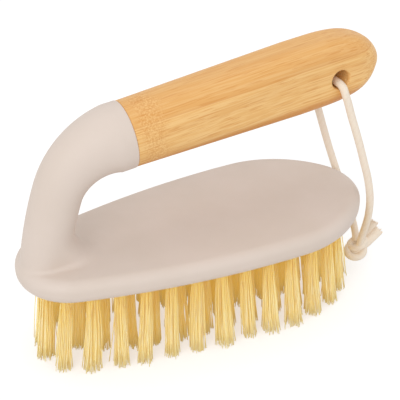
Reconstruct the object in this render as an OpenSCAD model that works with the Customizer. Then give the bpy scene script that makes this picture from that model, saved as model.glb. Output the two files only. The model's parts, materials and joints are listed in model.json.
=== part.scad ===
// Scrub brush: an egg-shaped block on tufts, with a bent arm, a bamboo handle and a hanging cord.
// X runs from the heel of the block, where the arm stands, to its nose. Z is up from the bristle tips.

/* [Block] */
// Length of the block, heel to nose
block_l = 155; // [120:1:190]
// Width of the block at its widest place
block_w = 70; // [60:1:90]
// Thickness of the block
block_t = 10; // [9.5:0.5:14]
// How much smaller the heel end's radius is than half the width
heel_fall = 12; // [8:0.5:14]
// How much smaller the nose end's radius is than half the width
nose_fall = 10; // [1:0.5:12]
// Distance from the middle of the nose arc back to the widest place
wide_back = 19; // [6:1:24]
// Radius of the rounded rim
rim_r = 4.5; // [3:0.1:4.5]
// Plastic left above the tuft plate
ceiling_t = 2.6; // [2:0.1:3.5]
// Plastic left around the tuft plate
skirt_t = 3.2; // [2.4:0.1:4.5]

/* [Tuft plate] */
// Gap between the plate and the skirt
plate_gap = 0.15; // [0.1:0.05:0.4]
// How far the snap bead stands out of the plate
bead_out = 0.6; // [0.4:0.1:1]
// Height of the snap bead
bead_h = 1.2; // [0.8:0.1:2]
// Diameter of a tuft hole
hole_d = 4.6; // [4:0.1:5.2]
// Depth of a tuft hole
hole_deep = 5.8; // [4.5:0.1:6.2]
// Plastic between the outer tuft holes and the edge of the plate
hole_edge = 1.6; // [1.2:0.1:3]
// Half the distance between the two sides of the inner ring of tufts
inner_half = 8.2; // [7.6:0.1:9]
// How much further from the heel the inner ring starts than the rings around it
inner_back = 12; // [10:0.5:20]
// Distance between two tufts along a ring
tuft_pitch = 10.4; // [9:0.1:13]
// How much further from the heel the rings of tufts start than the plate's edge would let them
heel_clear = 3; // [0:0.5:6]
// The same at the nose
nose_clear = 5; // [4:0.5:10]
// How much smaller the radius of the rings' nose end is than half the width
ring_nose_fall = 2; // [1:0.5:8]

/* [Bristles] */
// Length of bristle below the block
trim_l = 37; // [25:1:50]
// How far a tip leans out for each millimetre that its root is off the centre
fan = 0.065; // [0:0.005:0.08]
// Distance from the heel to the place where the tufts stand straight
fan_from_heel = 63; // [50:1:80]
// Strands around the middle strand of a tuft
strands_round = 5; // [4:1:5]
// Thickness of a strand
strand_d = 1.1; // [0.8:0.1:1.3]
// Gap between a tuft's root and its hole
tuft_gap = 0.1; // [0.05:0.05:0.2]
// Thickness of a tuft anchor
anchor_t = 0.4; // [0.3:0.05:0.6]
// Height of a tuft anchor
anchor_h = 1.8; // [1.2:0.1:2.4]

/* [Arm] */
// Radius of the arm where it leaves the block
arm_r = 9.7; // [8:0.1:12]
// Radius of the collar at the handle
collar_r = 13.4; // [11:0.1:15]
// Lean of the arm's leg where it leaves the block, in degrees
foot_lean = 9.5; // [6:0.5:12]
// Lean of the arm's leg where the bend begins, in degrees
arm_lean = 19.5; // [15:0.5:24]
// Radius of the bend, along its middle
bend_r = 27.5; // [26:0.5:34]
// Straight length of the collar
collar_l = 5.6; // [4:0.1:10]
// Distance from the heel to the face of the collar
collar_from_heel = 47.5; // [44:0.5:56]
// Height of the collar's middle above the block
collar_up = 46.5; // [42:0.5:60]
// Height of the flared foot of the arm
foot_h = 14; // [8:0.5:16]
// How far the foot flares towards the nose
foot_flare = 9.4; // [6:0.2:11]
// Diameter of the hollow in the arm's leg
core_d = 11; // [8:0.5:12]
// Top of the hollow above the block's underside
core_h = 29; // [20:1:32]

/* [Handle] */
// Length of the handle from the collar to its free end
handle_l = 112.5; // [95:0.5:135]
// Tilt of the handle above the block, in degrees
tilt = 5.8; // [0:0.1:8]
// Height of the handle's free part
handle_h = 29.2; // [24:0.2:34]
// Thickness of the handle's free part
handle_w = 21; // [18:0.5:25]
// Rounding of the handle's long edges
handle_edge = 7.5; // [5:0.5:9]
// Length of the rounded free end, seen from the side
end_l = 29.5; // [18:0.5:34]
// Fullness of the free end: 2 is an ellipse, more is squarer
end_power = 2.4; // [2:0.1:3]
// Length of the rounded free end, seen from above
end_top_l = 13.8; // [8:0.1:18]
// Distance from the collar at which the round grip has become a slab
slab_from = 73; // [50:1:80]
// How far the handle stays inside the collar's outline
handle_step = 0.25; // [0:0.05:0.6]
// Diameter of the tenon in the collar
tenon_d = 15; // [11:0.5:16]
// Length of the tenon
tenon_l = 12.5; // [8:0.5:13]
// Glue gap round the tenon
tenon_gap = 0.1; // [0.05:0.05:0.2]
// Diameter of the cord hole
eye_d = 8; // [6:0.5:9]
// Rounding of the cord hole's mouths
eye_round = 1.2; // [0.5:0.1:1.5]
// Distance from the cord hole to the handle's free end
eye_from_end = 21.5; // [18:0.5:36]
// How far the cord hole lies below the handle's middle
eye_drop = 1.9; // [0:0.1:3]

/* [Handle stud] */
// Diameter of the stud
stud_d = 4.5; // [3.5:0.5:5]
// Length of the stud in the bamboo, past the tenon's end
stud_in_wood = 34; // [20:1:45]
// Length of the stud in the arm, with its head
stud_in_arm = 7; // [5:0.5:8]
// Diameter of the stud's head
head_d = 8.5; // [7:0.5:9]
// Thickness of the stud's head
head_t = 2.4; // [1.5:0.1:3]
// Gap round the stud in the wood
stud_gap = 0.05; // [0.05:0.05:0.2]

/* [Cord] */
// Diameter of the cord
cord_d = 3.3; // [2.5:0.1:4]

/* [Hidden] */
QUARTERS = 4;
ROUND = 64;
ARM_FN = 32;
HANDLE_FN = 40;
HOLE_FN = 24;
CORD_FN = 8;
PLUG_FN = 8;
FOOT_STEPS = 4;
BEND_STEPS = 13;
RIM_STEPS = 4;
OUTLINE_STEP = 4.5;
EYE_STEP = 15;

// Where things are, in the frame whose origin is under the middle of the brush
overall_l = collar_from_heel + handle_l * cos(tilt);
heel_x = -overall_l / 2;
nose_x = heel_x + block_l;
block_z = trim_l;
top_z = block_z + block_t;
collar_x = heel_x + collar_from_heel;
collar_z = top_z + collar_up;

// The egg-shaped outline: a heel arc, a nose arc and two side arcs that meet at the widest place
half_w = block_w / 2;
heel_r = half_w - heel_fall;
nose_r = half_w - nose_fall;
heel_cx = heel_x + heel_r;
nose_cx = nose_x - nose_r;
wide_x = nose_cx - wide_back;

// Radius of the side arc that runs from the widest place into an end arc
function side_r(end_x, end_r) = ((wide_x - end_x) ^ 2 / (half_w - end_r) + end_r + half_w) / 2;
back_r = side_r(heel_cx, heel_r);
front_r = side_r(nose_cx, nose_r);

// Angles at which the side arcs meet the end arcs
nose_turn = atan2(front_r - half_w, nose_cx - wide_x);
heel_turn = atan2(back_r - half_w, heel_cx - wide_x);

// Half of the outline as arcs, from the heel to the nose: middle, radius, first and last angle
ARCS = [[[heel_cx, 0], heel_r, 180, heel_turn], [[wide_x, half_w - back_r], back_r, heel_turn, 90],
    [[wide_x, half_w - front_r], front_r, 90, nose_turn], [[nose_cx, 0], nose_r, nose_turn, 0]];

// The tuft plate and its snap bead
plate_in = skirt_t + plate_gap;
bead_z = block_z + 3;
BEAD_PLAY = 0.1;

// Where each ring of tufts starts, as a share of its pitch, and how the tufts are made
first_in = plate_in + hole_edge + hole_d / 2;
RING_START = [0.79, 0.8, 0.65];
CENTRE_COUNT = 4;
fan_x = heel_x + fan_from_heel;
ROOT_SHOWS = 0.5;
ROOT_TOP_GAP = 0.3;
ANCHOR_GAP = 0.05;
TIP_SCATTER = 1.6;
TIP_CUT = 0.5;
root_spread = 1.35;
tip_spread = 2.8;
SPREAD_SCATTER = 0.5;
MIDDLE_OUT = 0.4;
STRAND_TURN = 6;
STRAND_SINK = 0.4;
TIP_SHARE = 0.62;
ROOT_SHARE = 0.55;

// The arm's bend
bend_end_x = collar_x - collar_l * cos(tilt);
bend_end_z = collar_z - collar_l * sin(tilt);
bend_cx = bend_end_x + bend_r * sin(tilt);
bend_cz = bend_end_z - bend_r * cos(tilt);
bend_turn = 90 - arm_lean - tilt;
bend_foot_x = bend_cx - bend_r * cos(arm_lean);
bend_foot_z = bend_cz + bend_r * sin(arm_lean);
leg_r = (bend_foot_z - top_z) / (sin(arm_lean) - sin(foot_lean));
leg_cx = bend_foot_x + leg_r * cos(arm_lean);
leg_cz = bend_foot_z - leg_r * sin(arm_lean);
LEG_STEPS = 4;
arm_sink = 1.8;
collar_lip = 0.4;
FOOT_CURVE = 2.2;
FOOT_SIDE = 0.12;
COLLAR_CURVE = 1.5;
core_from = top_z - ceiling_t - 1;
core_to = block_z + core_h;

// The stud's free end, and the stations along the handle at which its section is drawn
stud_end = -tenon_l + stud_in_wood;
stud_point = 4;
GRIP_STEP = 9;
END_TURN = 9;
LAST_TURN = 87;
HANDLE_STATIONS = concat([for (s = [0:GRIP_STEP:handle_l - end_l - GRIP_STEP / 2]) s],
    [for (a = [0:END_TURN:81]) handle_l - end_l * (1 - sin(a))], [handle_l - end_l * (1 - sin(LAST_TURN))]);

// The cord's route, chosen by eye from the photo, with the brush standing on its tips
FRONT_LEG = [[58.4, -8, 98.8], [58.4, -10, 98.7], [58.7, -11.8, 97.6], [59.3, -12.8, 95], [60.7, -13.2, 91],
    [62.7, -13.4, 85], [64.9, -14, 78.5], [67.3, -14.8, 71], [69.9, -15.4, 62.5], [72.9, -15.7, 53],
    [75.5, -15.2, 42.5], [77.3, -13.2, 32.5], [78.2, -10.8, 24.5], [78.3, -9, 18], [78.2, -8, 12]];
BACK_LEG = [[58.4, 8, 98.8], [58.4, 10, 98.7], [58.7, 11.8, 97.6], [59.3, 12.8, 95], [60.5, 13.4, 91],
    [62.3, 13.9, 84.5], [64.7, 14.4, 77], [67.7, 15, 69], [70.9, 15.5, 60.5], [74.1, 15.3, 51.5],
    [76.9, 13.8, 42.5], [79.1, 10.4, 33.5], [79.9, 5, 25.5], [79.7, -1, 17], [79.1, -4, 12]];
TAILS = [[[79.3, -5.4, 9.6], [82.7, -4.3, 11.9], [85.6, -3.4, 15.1], [88.1, -3.2, 18.2]],
    [[79.3, -8, 10], [82.6, -7.3, 11.6], [85.8, -6.4, 13.3], [88.8, -5.8, 15.1]]];
KNOT = [77.9, -6.5, 9.6];
knot_r = 5.2;
knot_turn_in = 0.8;
knot_lean = 62;
KNOT_TURN_FN = 24;
CORD_GAP = 0.1;

RINGS = ["outer", "middle", "inner"];

// A closed outline that runs a given distance inside the block's
function half_outline(in) = [for (arc = ARCS)
    let (steps = ceil(arc[1] * (arc[2] - arc[3]) * PI / 180 / OUTLINE_STEP))
    for (i = [0:steps - 1]) on_circle(arc[0].x, arc[0].y, arc[1] - in, arc[2] + (arc[3] - arc[2]) * i / steps)];
function outline(in) =
    let (half = half_outline(in), n = len(half))
    concat([for (i = [n - 1:-1:0]) half[i]], [for (i = [1:n - 1]) [half[i].x, -half[i].y]], [[nose_x - in, 0]]);

// A point on a ring of tufts that lies a given distance inside the block's outline.
// Each ring keeps round ends, and its side arcs are worked out anew.
function ring_heel_r(in) = max(heel_r - in, 3);
function ring_nose_r(in) = max(half_w - ring_nose_fall - in, 3);
function ring_w(in) = half_w - in;
function ring_heel_cx(in) = heel_x + heel_clear + in + ring_heel_r(in) + inner_back * ring_depth(in) ^ 2;
function ring_depth(in) = (in - first_in) / (inner_in - first_in);
function ring_nose_cx(in) = nose_x - nose_clear - in - ring_nose_r(in);
function ring_side_r(in, end_x, end_r) =
    ((wide_x - end_x) ^ 2 / (ring_w(in) - end_r) + end_r + ring_w(in)) / 2;
function ring_back_r(in) = ring_side_r(in, ring_heel_cx(in), ring_heel_r(in));
function ring_front_r(in) = ring_side_r(in, ring_nose_cx(in), ring_nose_r(in));
function ring_heel_turn(in) = atan2(ring_back_r(in) - ring_w(in), ring_heel_cx(in) - wide_x);
function ring_nose_turn(in) = atan2(ring_front_r(in) - ring_w(in), ring_nose_cx(in) - wide_x);
function arc(r, degrees) = r * degrees * PI / 180;
function heel_arc(in) = arc(ring_heel_r(in), 180 - ring_heel_turn(in));
function back_arc(in) = arc(ring_back_r(in), ring_heel_turn(in) - 90);
function front_arc(in) = arc(ring_front_r(in), 90 - ring_nose_turn(in));
function nose_arc(in) = arc(ring_nose_r(in), ring_nose_turn(in));
function half_ring(in) = heel_arc(in) + back_arc(in) + front_arc(in) + nose_arc(in);
function on_circle(cx, cy, r, a) = [cx + r * cos(a), cy + r * sin(a)];
function turned(length, r) = length / r * 180 / PI;
function half_point(in, s) =
    let (s1 = s - heel_arc(in), s2 = s1 - back_arc(in), s3 = s2 - front_arc(in))
    s1 < 0 ? on_circle(ring_heel_cx(in), 0, ring_heel_r(in), 180 - turned(s, ring_heel_r(in))) :
    s2 < 0 ? on_circle(wide_x, ring_w(in) - ring_back_r(in), ring_back_r(in),
        ring_heel_turn(in) - turned(s1, ring_back_r(in))) :
    s3 < 0 ? on_circle(wide_x, ring_w(in) - ring_front_r(in), ring_front_r(in),
        90 - turned(s2, ring_front_r(in))) :
    on_circle(ring_nose_cx(in), 0, ring_nose_r(in), ring_nose_turn(in) - turned(s3, ring_nose_r(in)));
function ring_point(in, s) =
    s <= half_ring(in) ? half_point(in, s) :
    let (p = half_point(in, 2 * half_ring(in) - s)) [p.x, -p.y];

// The three rings of tufts and the short row in their middle, as lists of root points
inner_in = half_w - inner_half;
RING_IN = [first_in, (first_in + inner_in) / 2, inner_in];
function ring_count(in) = round(2 * half_ring(in) / tuft_pitch);
function ring_roots(ring) =
    let (in = RING_IN[ring], count = ring_count(in), step = 2 * half_ring(in) / count)
    [for (k = [0:count - 1]) ring_point(in, (k + RING_START[ring]) * step)];
function quarter_of(roots, quarter) =
    [for (k = [0:len(roots) - 1]) if (floor(k * QUARTERS / len(roots)) == quarter) roots[k]];
CENTRE_ROOTS = [for (k = [0:CENTRE_COUNT - 1]) [wide_x + (k - CENTRE_COUNT + 1.3) * tuft_pitch, 0]];
ALL_ROOTS = concat(ring_roots(0), ring_roots(1), ring_roots(2), CENTRE_ROOTS);

// A repeatable scatter between 0 and 1
function scatter(n) = (sin(n * 137.508) + 1) / 2;

// A solid through rings of points that all have the same count, with its faces cut into triangles
module loft(rings) {
    n = len(rings[0]);
    last = len(rings) - 1;
    side = [for (i = [0:last - 1]) for (k = [0:n - 1]) each
        let (a = i * n + k, b = i * n + (k + 1) % n) [[a, b, b + n], [a, b + n, a + n]]];
    polyhedron(
        points = [for (ring = rings) each ring],
        faces = concat([[for (k = [n - 1:-1:0]) k]], [[for (k = [0:n - 1]) last * n + k]], side));
}

// A round tube along a route of points
function unit(v) = v / norm(v);
function route_way(route, i) =
    unit(route[min(i + 1, len(route) - 1)] - route[max(i - 1, 0)]);
function route_ring(route, i, r, n) =
    let (way = route_way(route, i), u = unit(cross(way, [1, 0, 0])), v = cross(way, u))
    [for (k = [0:n - 1]) route[i] + r * cos(k * 360 / n) * u - r * sin(k * 360 / n) * v];
module tube(route, d, n) {
    loft([for (i = [0:len(route) - 1]) route_ring(route, i, d / 2, n)]);
}

// The block's egg-shaped outline as a slab, drawn in by a distance
module egg(in, z0, z1) {
    translate([0, 0, z0]) linear_extrude(z1 - z0) polygon(outline(in));
}
function at_height(points, z) = [for (i = [len(points) - 1:-1:0]) [points[i].x, points[i].y, z]];
module rounded_egg() {
    low = [for (i = [0:RIM_STEPS]) let (a = 90 - i * 90 / RIM_STEPS)
        at_height(outline(rim_r * (1 - cos(a))), block_z + rim_r * (1 - sin(a)))];
    high = [for (i = [0:RIM_STEPS]) let (a = i * 90 / RIM_STEPS)
        at_height(outline(rim_r * (1 - cos(a))), top_z - rim_r * (1 - sin(a)))];
    loft(concat(low, high));
}

// Places what is drawn along X onto the handle's axis, with 0 at the face of the collar
module on_handle_axis() {
    translate([collar_x, 0, collar_z]) rotate([0, -tilt, 0]) children();
}
module rod(from, to, d1, d2) {
    translate([from, 0, 0]) rotate([0, 90, 0]) cylinder(h = to - from, d1 = d1, d2 = d2, $fn = ROUND);
}

// A ring of the arm: its middle, the angle of its way, and its half sizes across and along Y
function arm_ring(x, z, way, across, wide) =
    [for (k = [0:ARM_FN - 1]) let (a = k * 360 / ARM_FN)
        [x - across * cos(a) * sin(way), wide * sin(a), z + across * cos(a) * cos(way)]];
function foot_ring(h, z) =
    let (grow = foot_flare / 2 * (1 - h / foot_h) ^ FOOT_CURVE)
    arm_ring(leg_x(z) + grow, z, 90, arm_r + grow, arm_r + grow * FOOT_SIDE);
function leg_x(z) = leg_cx - sqrt(leg_r ^ 2 - (z - leg_cz) ^ 2);
function leg_ring(z) = arm_ring(leg_x(z), z, 90 - asin((z - leg_cz) / leg_r), arm_r, arm_r);
function bend_ring(f) =
    let (turn = arm_lean + f * bend_turn, r = arm_r + (collar_r - arm_r) * f ^ COLLAR_CURVE)
    arm_ring(bend_cx - bend_r * cos(turn), bend_cz + bend_r * sin(turn), 90 - turn, r, r);
function collar_ring(back, r) =
    arm_ring(collar_x - back * cos(tilt), collar_z - back * sin(tilt), tilt, r, r);

module arm() {
    leg_step = (bend_foot_z - top_z - foot_h) / LEG_STEPS;
    loft(concat(
        [foot_ring(0, top_z - arm_sink)],
        [for (i = [0:FOOT_STEPS]) foot_ring(foot_h * i / FOOT_STEPS, top_z + foot_h * i / FOOT_STEPS)],
        [for (i = [1:LEG_STEPS - 1]) leg_ring(top_z + foot_h + i * leg_step)],
        [for (i = [0:BEND_STEPS]) bend_ring(i / BEND_STEPS)],
        [collar_ring(collar_lip, collar_r), collar_ring(0, collar_r - collar_lip)]));
}
module stud_shape(gap) {
    head_from = -tenon_l - stud_in_arm;
    rod(head_from - gap, head_from + head_t + gap, head_d + 2 * gap, head_d + 2 * gap);
    rod(head_from, stud_end - stud_point, stud_d + 2 * gap, stud_d + 2 * gap);
    rod(stud_end - stud_point, stud_end + gap, stud_d + 2 * gap, 1 + 2 * gap);
}
core_lean = atan((leg_x(core_to) - leg_x(core_from)) / (core_to - core_from));
module block_and_arm() color("#cbbcb0") difference() {
    union() {
        rounded_egg();
        arm();
    }
    egg(skirt_t, block_z - 1, top_z - ceiling_t);
    egg(plate_in - bead_out - plate_gap, bead_z - BEAD_PLAY, bead_z + bead_h + BEAD_PLAY);
    translate([leg_x(core_from), 0, core_from]) rotate([0, core_lean, 0])
        cylinder(h = (core_to - core_from) / cos(core_lean), d = core_d, $fn = ROUND);
    on_handle_axis() {
        rod(-tenon_l - tenon_gap, 1, tenon_d + 2 * tenon_gap, tenon_d + 2 * tenon_gap);
        stud_shape(stud_gap);
    }
}

module tuft_plate() color("#c2b3a7") difference() {
    union() {
        egg(plate_in, block_z, top_z - ceiling_t);
        egg(plate_in - bead_out, bead_z, bead_z + bead_h);
    }
    for (root = ALL_ROOTS) translate([root.x, root.y, block_z - 1])
        cylinder(h = hole_deep + 1, d = hole_d, $fn = HOLE_FN);
}

// One tuft: its folded root in the hole and the strands that leave it
function lean(root) = fan * (root - [fan_x, 0]);
module strand(root, k, seed) {
    around = k == 0 ? 0 : (k + scatter(seed)) * 360 / strands_round;
    spread = k == 0 ? MIDDLE_OUT : tip_spread - SPREAD_SCATTER * scatter(seed + k);
    from = root + (k == 0 ? 0 : root_spread) * [cos(around), sin(around)];
    to = root + lean(root) + spread * [cos(around + STRAND_TURN), sin(around + STRAND_TURN)];
    to_z = max(0, TIP_SCATTER * scatter(seed * 3 + k * 7) - TIP_CUT);
    loft([strand_ring(to, to_z, strand_d * TIP_SHARE, around),
        strand_ring(from, block_z - ROOT_SHOWS + STRAND_SINK, strand_d * ROOT_SHARE, around)]);
}
function strand_ring(at, z, r, turn) =
    [for (k = [0:2]) [at.x + r * cos(turn - k * 120), at.y + r * sin(turn - k * 120), z]];
module tuft(root) {
    seed = root.x * 3.1 + root.y * 5.7;
    root_top = block_z + hole_deep - ROOT_TOP_GAP;
    difference() {
        translate([root.x, root.y, block_z - ROOT_SHOWS])
            cylinder(h = root_top - block_z + ROOT_SHOWS, d = hole_d - 2 * tuft_gap, $fn = PLUG_FN);
        anchor(root, ANCHOR_GAP);
    }
    for (k = [0:strands_round]) strand(root, k, seed);
}
module anchor(root, gap) {
    root_top = block_z + hole_deep - ROOT_TOP_GAP;
    translate([root.x, root.y, root_top - anchor_h / 2])
        cube([(gap > 0 ? 2 : 1) * (hole_d - 4 * tuft_gap), anchor_t + 2 * gap, anchor_h + 2 * gap], center = true);
}
module tufts(roots) color("#e8c26a") for (root = roots) tuft(root);
module anchors(roots) color("#9a9ca0") for (root = roots) anchor(root, 0);

module handle_stud() color("#a9abad") on_handle_axis() stud_shape(0);

// A section of the handle at a distance from the collar: a rounded oblong
function handle_t(s) = min(1, s / slab_from);
function handle_end(s) = max(0, (s - handle_l + end_l) / end_l);
function plan_end(s) = max(0, (s - handle_l + end_top_l) / end_top_l);
function mix(a, b, t) = a + (b - a) * t;
function handle_ring(s) =
    let (start = collar_r - handle_step, t = handle_t(s),
        high = mix(start, handle_h / 2, t) * (1 - handle_end(s) ^ end_power) ^ (1 / end_power),
        wide = mix(start, handle_w / 2, t) - handle_edge * (1 - sqrt(1 - plan_end(s) ^ 2)),
        r = min(mix(start, handle_edge, t), high, wide))
    [for (k = [0:HANDLE_FN - 1]) let (a = (k + 0.5) * 360 / HANDLE_FN)
        [s, sign(sin(a)) * (wide - r) + r * sin(a), sign(cos(a)) * (high - r) + r * cos(a)]];
module eye_section() {
    face = handle_w / 2;
    past = face + 1;
    mouth = [for (a = [0:EYE_STEP:90]) eye_round * [1 - cos(a), 1 - sin(a)]];
    last = len(mouth) - 1;
    polygon(concat([[0, -past]],
        [for (i = [last:-1:0]) [eye_d / 2 + mouth[i].x, mouth[i].y - face]],
        [for (i = [0:last]) [eye_d / 2 + mouth[i].x, face - mouth[i].y]],
        [[0, past]]));
}
module bamboo_handle() color("#dfae62") on_handle_axis() difference() {
    union() {
        loft([for (s = HANDLE_STATIONS) handle_ring(s)]);
        rod(-tenon_l, 2, tenon_d, tenon_d);
    }
    stud_shape(stud_gap);
    translate([handle_l - eye_from_end, 0, 0]) rotate([0, tilt, 0]) translate([0, 0, -eye_drop])
        rotate([90, 0, 0]) rotate_extrude($fn = ROUND) eye_section();
}

module knot_shape() {
    translate(KNOT) {
        sphere(knot_r, $fn = ROUND);
        rotate([0, knot_lean, 0]) rotate_extrude($fn = ROUND) translate([knot_r - knot_turn_in, 0])
            circle(cord_d / 2, $fn = KNOT_TURN_FN);
    }
}
module cord_in_eye() color("#ecdcc6") translate([FRONT_LEG[0].x, 0, FRONT_LEG[0].z]) rotate([90, 0, 0])
    cylinder(h = BACK_LEG[0].y - FRONT_LEG[0].y - 2 * CORD_GAP, d = cord_d, center = true, $fn = CORD_FN);
module cord_front_leg() color("#ecdcc6") difference() {
    tube(FRONT_LEG, cord_d, CORD_FN);
    knot_shape();
}
module cord_back_leg() color("#ecdcc6") difference() {
    tube(BACK_LEG, cord_d, CORD_FN);
    knot_shape();
}
module cord_knot() color("#e6d3ba") knot_shape();
module cord_tails() color("#ecdcc6") for (route = TAILS) difference() {
    tube(route, cord_d, CORD_FN);
    knot_shape();
}

block_and_arm();
tuft_plate();
tufts(CENTRE_ROOTS);  // centre_tufts
anchors(CENTRE_ROOTS);  // centre_anchors
handle_stud();
bamboo_handle();
cord_in_eye();
cord_front_leg();
cord_back_leg();
cord_knot();
cord_tails();
for (ring = [0:2], quarter = [1:QUARTERS]) {
    roots = quarter_of(ring_roots(ring), quarter - 1);
    tufts(roots);
    anchors(roots);
}
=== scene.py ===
"""The looks of a scrub brush: soft plastic, bamboo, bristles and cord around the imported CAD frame."""
import json
import math

import bmesh
import bpy
import numpy as np
from bpy.props import FloatProperty, FloatVectorProperty, IntProperty, PointerProperty
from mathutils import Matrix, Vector

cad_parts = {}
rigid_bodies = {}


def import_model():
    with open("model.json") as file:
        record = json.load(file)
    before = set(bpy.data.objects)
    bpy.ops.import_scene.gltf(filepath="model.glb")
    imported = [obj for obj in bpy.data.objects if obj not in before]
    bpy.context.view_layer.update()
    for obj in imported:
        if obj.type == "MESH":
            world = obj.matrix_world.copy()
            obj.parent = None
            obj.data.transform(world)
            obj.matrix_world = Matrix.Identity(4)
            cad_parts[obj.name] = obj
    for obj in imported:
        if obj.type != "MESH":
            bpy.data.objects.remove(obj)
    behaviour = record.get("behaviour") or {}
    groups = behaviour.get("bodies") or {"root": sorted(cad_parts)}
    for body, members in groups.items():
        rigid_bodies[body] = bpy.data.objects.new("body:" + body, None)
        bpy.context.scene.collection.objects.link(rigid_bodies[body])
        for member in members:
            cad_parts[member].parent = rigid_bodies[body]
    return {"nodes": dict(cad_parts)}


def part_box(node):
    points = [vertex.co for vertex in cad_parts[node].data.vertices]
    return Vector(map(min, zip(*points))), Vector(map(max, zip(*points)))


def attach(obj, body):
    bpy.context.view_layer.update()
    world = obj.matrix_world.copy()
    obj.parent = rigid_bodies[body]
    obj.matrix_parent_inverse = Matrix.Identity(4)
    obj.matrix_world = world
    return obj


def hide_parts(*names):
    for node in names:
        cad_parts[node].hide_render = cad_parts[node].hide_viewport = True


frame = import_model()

bl_info = {
    "name": "Scrub brush looks",
    "version": (1, 0, 0),
    "blender": (4, 5, 0),
    "location": "3D View > Sidebar > Scrub brush",
    "description": "Builds the smooth block and arm, the bamboo handle, the bristles and the cord",
    "category": "Object",
}

MM = 0.001
UP = np.array([0.0, 0.0, 1.0])
WHITE = (1, 1, 1, 1)
SHARP_ANGLE = math.radians(38)
BRUSH = "brush"
LOOP = "cord_loop"
RINGS = ("outer", "middle", "inner")
QUARTERS = (1, 2, 3, 4)
TUFT_GROUPS = ["centre"] + [f"{ring}_{quarter}" for ring in RINGS for quarter in QUARTERS]


def group_node(group, kind):
    """The CAD node of a group's tufts or anchors, such as outer_tufts_1 or centre_anchors."""
    ring, _, quarter = group.partition("_")
    return "_".join(word for word in (ring, kind, quarter) if word)


# Sizes and colours


def distance(size, description):
    """A length, given here in millimetres."""
    return FloatProperty(description=description, default=size * MM, min=0, precision=5, unit="LENGTH")


def angle(degrees, description):
    return FloatProperty(description=description, default=math.radians(degrees), subtype="ANGLE")


def share(default, description):
    return FloatProperty(description=description, default=default, min=0)


def linear(red, green, blue):
    """A colour as it is seen on a screen, 0 to 255, as the linear colour that Blender's sockets take."""
    screen = [c / 255 for c in (red, green, blue)]
    return tuple(c / 12.92 if c <= 0.04045 else ((c + 0.055) / 1.055) ** 2.4 for c in screen)


def tint(screen, description):
    return FloatVectorProperty(
        description=description, default=linear(*screen), size=3, min=0, max=1, subtype="COLOR"
    )


class ScrubBrushBlock(bpy.types.PropertyGroup):
    length: distance(155, "Length of the block from heel to nose")
    width: distance(70, "Width of the block at its widest place")
    thickness: distance(10, "Thickness of the block")
    underside: distance(37, "Height of the block's underside above the bristle tips")
    heel_fall: distance(12, "How much smaller the heel's radius is than half the width")
    nose_fall: distance(10, "How much smaller the nose's radius is than half the width")
    wide_back: distance(19, "Distance from the middle of the nose arc back to the widest place")
    rim: distance(4.5, "Radius of the rounded rim")
    ceiling: distance(2.6, "Plastic above the tuft plate")
    skirt: distance(3.2, "Plastic around the tuft plate")


class ScrubBrushArm(bpy.types.PropertyGroup):
    radius: distance(9.7, "Radius of the arm where it leaves the block")
    collar: distance(13.4, "Radius of the collar at the handle")
    foot_lean: angle(9.5, "Lean of the arm's leg where it leaves the block")
    lean: angle(19.5, "Lean of the arm's leg where the bend begins")
    bend: distance(27.5, "Radius of the bend along its middle")
    collar_length: distance(5.6, "Straight length of the collar")
    collar_from_heel: distance(47.5, "Distance from the heel to the collar's face")
    collar_up: distance(46.5, "Height of the collar's middle above the block")
    foot_height: distance(14, "Height of the flared foot")
    foot_flare: distance(9.4, "How far the foot flares towards the nose")
    foot_front: distance(3.5, "Size of the soft corner on the nose side of the foot")
    foot_side: distance(1.8, "Size of the soft corner at the sides of the foot")
    foot_back: distance(1.5, "Size of the soft corner on the heel side of the foot")


class ScrubBrushHandle(bpy.types.PropertyGroup):
    length: distance(112.5, "Length from the collar to the free end")
    tilt: angle(5.8, "Tilt of the handle above the block")
    height: distance(29.2, "Height of the handle's free part")
    width: distance(21, "Thickness of the handle's free part")
    edge: distance(7.5, "Rounding of the handle's long edges")
    end_length: distance(29.5, "Length of the rounded end, seen from the side")
    end_power: share(2.4, "Two is an ellipse, more is squarer")
    end_top: distance(13.8, "Length of the rounded end, seen from above")
    slab_from: distance(73, "Where the round grip has become a slab")
    step: distance(0.25, "How far the handle stays inside the collar's outline")
    tenon: distance(15, "Diameter of the tenon in the collar")
    tenon_length: distance(12.5, "Length of the tenon in the collar")
    hole: distance(8, "Diameter of the cord hole")
    hole_round: distance(1.2, "Rounding of the cord hole's mouths")
    hole_from_end: distance(21.5, "Distance from the cord hole to the free end")
    hole_drop: distance(1.9, "How far the hole lies below the handle's middle")


class ScrubBrushBristles(bpy.types.PropertyGroup):
    count: IntProperty(description="Bristles in one tuft", default=76, min=3, max=120)
    thickness: distance(0.4, "Thickness of one bristle")
    root: distance(2.1, "Radius of a tuft at its hole")
    spread: share(0.5, "How much wider a tuft is at its tips, as a share of its root")
    spread_more: share(0.5, "How much more than that the widest tufts spread")
    fan: share(0.06, "How far a tip leans out for each length that its root is off the middle")
    fan_from_heel: distance(63, "Distance from the heel to the tufts that stand straight")
    ragged: distance(1.0, "How unevenly the tips are cut")
    strays: share(0.04, "Share of the bristles that stick out of their tuft")
    seed: IntProperty(description="Number that the scatter starts from", default=7, min=0)


class ScrubBrushCord(bpy.types.PropertyGroup):
    diameter: distance(3.3, "Diameter of the cotton cord")
    lay: distance(11, "Length in which a strand of the cord turns once")
    ply_depth: share(0.004, "How far the strands stand out, as a share of the radius")
    knot_ring: distance(3.9, "Radius of the turn of cord around the knot, along its middle")


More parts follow.
